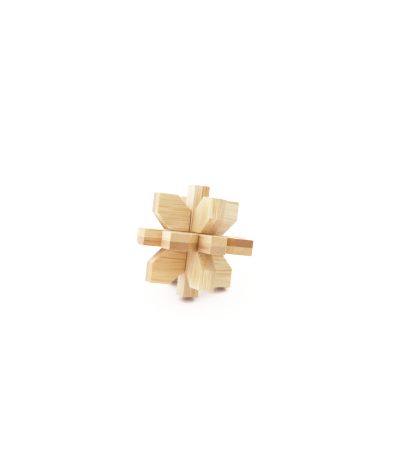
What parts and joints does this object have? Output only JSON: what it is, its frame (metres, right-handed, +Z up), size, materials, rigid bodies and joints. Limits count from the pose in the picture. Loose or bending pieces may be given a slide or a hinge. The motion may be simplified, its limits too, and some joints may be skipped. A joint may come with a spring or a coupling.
{
  "type": "interlocking burr puzzle",
  "caption": "Wooden burr puzzle: crossed square bars locked by bow-tie plates whose chamfered petals stand like a flower.",
  "frame": {"origin": "the point where the centre lines of the three bars cross, which is the middle of the bounding box", "axes": "+Z up from the table, with the puzzle leaning back 25.2 degrees on the three corners it rests on; seen from above, +X is to the right, roughly along the side bar towards its open end, and +Y is away from the front, roughly along the depth bar"},
  "size_m": [0.0812, 0.0812, 0.0803],
  "materials": {
    "bamboo_pale": "satin",
    "bamboo_honey": "satin",
    "bamboo_tan": "satin",
    "bamboo_brown": "satin"
  },
  "bodies": {
    "core": {"upright_bar_right_lamina": "bamboo_brown", "upright_bar_top_block": "bamboo_pale", "upright_bar_bottom_block": "bamboo_pale", "depth_bar_lower_lamina": "bamboo_tan", "depth_bar_front_block": "bamboo_pale", "depth_bar_back_block": "bamboo_pale", "side_bar_upper_lamina": "bamboo_honey", "side_bar_lower_block": "bamboo_brown", "top_plate_back_lamina": "bamboo_tan", "top_plate_left_block": "bamboo_pale", "top_plate_right_block": "bamboo_pale", "bottom_plate_back_lamina": "bamboo_tan", "bottom_plate_left_block": "bamboo_pale", "bottom_plate_right_block": "bamboo_pale", "left_plate_lower_lamina": "bamboo_brown", "left_plate_front_block": "bamboo_honey", "left_plate_back_block": "bamboo_honey"},
    "key_plate": {"key_plate_lower_lamina": "bamboo_honey", "key_plate_front_block": "bamboo_brown", "key_plate_back_block": "bamboo_brown"},
    "front_plate": {"front_plate_right_lamina": "bamboo_tan", "front_plate_upper_block": "bamboo_honey", "front_plate_lower_block": "bamboo_honey"},
    "back_plate": {"back_plate_right_lamina": "bamboo_tan", "back_plate_upper_block": "bamboo_honey", "back_plate_lower_block": "bamboo_honey"}
  },
  "joints": [
    {"name": "key_slide", "type": "slide", "parent": "core", "child": "key_plate", "axis": [0.9526, -0.0474, -0.3005], "range_m": [0, 0.044]},
    {"name": "front_slide", "type": "slide", "parent": "core", "child": "front_plate", "axis": [0.9526, -0.0474, -0.3005], "range_m": [0, 0.022]},
    {"name": "back_slide", "type": "slide", "parent": "core", "child": "back_plate", "axis": [0.9526, -0.0474, -0.3005], "range_m": [0, 0.022]}
  ],
  "couplings": [
    {"joint": "front_slide", "follows": "key_slide", "ratio": 0.5},
    {"joint": "back_slide", "follows": "key_slide", "ratio": 0.5}
  ]
}
